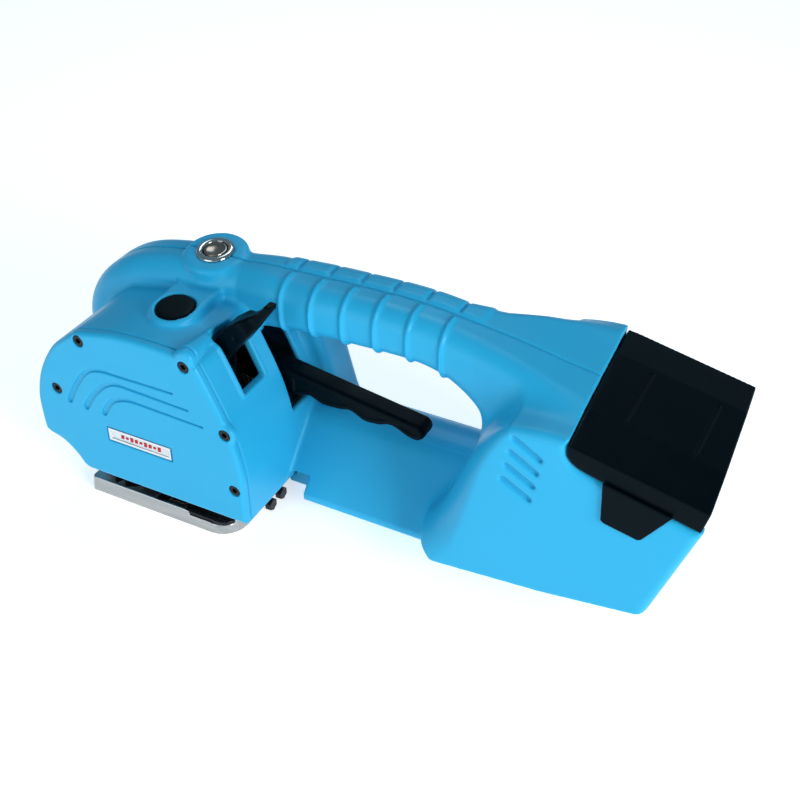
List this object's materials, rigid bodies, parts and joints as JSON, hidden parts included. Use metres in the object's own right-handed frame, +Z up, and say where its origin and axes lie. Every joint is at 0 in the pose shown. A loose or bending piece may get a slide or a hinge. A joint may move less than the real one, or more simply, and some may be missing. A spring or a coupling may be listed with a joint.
{
  "type": "battery strapping tool",
  "caption": "Battery strapping tool with a blue moulded housing, handle, black tension lever, weld lever, steel base plate and a slide-out black battery.",
  "frame": {"origin": "middle of the tool's footprint, on the surface that it rests on", "axes": "+X from the strapping head to the battery, +Z up, Y across; the label side faces -Y"},
  "size_m": [0.324, 0.1084, 0.1228],
  "materials": {
    "blue_shell": "fine moulded texture, semi-gloss",
    "black_plastic": "moulded, fine grain",
    "bright_steel": "brushed",
    "dark_steel": "black oxide",
    "button_chrome": "polished",
    "cast_alloy": "as cast",
    "motor_zinc": "plated",
    "belt_rubber": "matt",
    "board_green": "solder mask",
    "contact_brass": "bright",
    "cell_wrap": "shrink wrap",
    "label_alloy": "satin"
  },
  "bodies": {
    "root": {"housing_near": "blue_shell", "housing_far": "blue_shell", "gear_cover": "blue_shell", "far_cover": "blue_shell", "gear_cover_screws": "dark_steel", "far_cover_screws": "dark_steel", "base_plate": "bright_steel", "weld_anvil": "bright_steel", "feed_anvil": "bright_steel", "base_plate_screws": "dark_steel", "strap_guide_bolts": "dark_steel", "gear_frame": "cast_alloy", "drive_bearing_near": "bright_steel", "drive_bearing_far": "bright_steel", "cam_bearing": "bright_steel", "gearbox_case": "cast_alloy", "motor_can": "motor_zinc", "motor_end_cap": "motor_zinc", "timing_belt": "belt_rubber", "rocker_spring": "bright_steel", "spring_post": "bright_steel", "button_bezel": "button_chrome", "tension_switch": "black_plastic", "button_nut": "button_chrome", "weld_switch": "black_plastic", "weld_lever_pin": "bright_steel", "weld_lever_bracket": "dark_steel", "control_board": "board_green", "label_plate": "label_alloy", "contact_block": "black_plastic", "battery_contacts": "contact_brass"},
    "rocker": {"tension_lever": "black_plastic", "rocker_arm": "bright_steel"},
    "feed_wheel_body": {"feed_wheel": "bright_steel", "feed_shaft": "bright_steel"},
    "motor_rotor": {"motor_shaft": "bright_steel", "bevel_pinion": "bright_steel"},
    "drive_shaft_body": {"drive_shaft": "bright_steel", "bevel_gear": "bright_steel", "drive_pulley": "cast_alloy"},
    "eccentric_body": {"eccentric_shaft": "bright_steel", "weld_pulley": "cast_alloy"},
    "gripper_body": {"weld_gripper": "bright_steel", "cutter_blade": "bright_steel"},
    "tension_button_body": {"tension_button": "button_chrome"},
    "weld_button_body": {"weld_button": "black_plastic"},
    "weld_lever_body": {"weld_lever": "black_plastic"},
    "battery": {"battery_lid": "black_plastic", "battery_case": "black_plastic", "battery_cells": "cell_wrap"},
    "latch_near_body": {"latch_near": "black_plastic"},
    "latch_far_body": {"latch_far": "black_plastic"}
  },
  "joints": [
    {"name": "rocker_swing", "type": "hinge", "parent": "root", "child": "rocker", "pos_m": [-0.08297, -0.01875, 0.026], "axis": [0, -1, 0], "range_deg": [0, 14], "stiffness_Nm_per_rad": 2, "springref_deg": -17.19},
    {"name": "feed_spin", "type": "hinge", "parent": "rocker", "child": "feed_wheel_body", "pos_m": [-0.06297, -0.03375, 0.0219], "axis": [0, 1, 0], "continuous": true},
    {"name": "motor_spin", "type": "hinge", "parent": "root", "child": "motor_rotor", "pos_m": [-0.05797, 0.01725, 0.026], "axis": [1, 0, 0], "continuous": true},
    {"name": "drive_spin", "type": "hinge", "parent": "root", "child": "drive_shaft_body", "pos_m": [-0.08297, 0.01725, 0.026], "axis": [0, 1, 0], "continuous": true},
    {"name": "cam_spin", "type": "hinge", "parent": "root", "child": "eccentric_body", "pos_m": [-0.11997, 0.01725, 0.05], "axis": [0, 1, 0], "continuous": true},
    {"name": "gripper_press", "type": "slide", "parent": "root", "child": "gripper_body", "axis": [0, 0, -1], "range_m": [0, 0.0026]},
    {"name": "weld_lever_swing", "type": "hinge", "parent": "root", "child": "weld_lever_body", "pos_m": [-0.06497, -0.02675, 0.089], "axis": [0, 1, 0], "range_deg": [0, 25], "stiffness_Nm_per_rad": 0.4, "springref_deg": -17.19},
    {"name": "tension_press", "type": "slide", "parent": "root", "child": "tension_button_body", "axis": [0, 0, -1], "range_m": [0, 0.0012], "stiffness_N_per_m": 800, "springref_m": -0.001},
    {"name": "weld_press", "type": "slide", "parent": "root", "child": "weld_button_body", "axis": [0, 0, -1], "range_m": [0, 0.002], "stiffness_N_per_m": 600, "springref_m": -0.001},
    {"name": "battery_slide", "type": "slide", "parent": "root", "child": "battery", "axis": [0.989, 0, -0.1478], "range_m": [0, 0.085]},
    {"name": "latch_near_swing", "type": "hinge", "parent": "battery", "child": "latch_near_body", "pos_m": [0.12566, -0.03845, 0.09104], "axis": [-0.989, 0, 0.1478], "range_deg": [0, 8], "stiffness_Nm_per_rad": 0.05, "springref_deg": -11.46},
    {"name": "latch_far_swing", "type": "hinge", "parent": "battery", "child": "latch_far_body", "pos_m": [0.12566, 0.05295, 0.09104], "axis": [0.989, 0, -0.1478], "range_deg": [0, 8], "stiffness_Nm_per_rad": 0.05, "springref_deg": -11.46}
  ],
  "couplings": [
    {"joint": "motor_spin", "follows": "drive_spin", "ratio": -2},
    {"joint": "feed_spin", "follows": "drive_spin", "ratio": -0.5},
    {"joint": "cam_spin", "follows": "drive_spin", "ratio": 1},
    {"joint": "gripper_press", "follows": "weld_lever_swing", "m_per_rad": 0.0059}
  ]
}
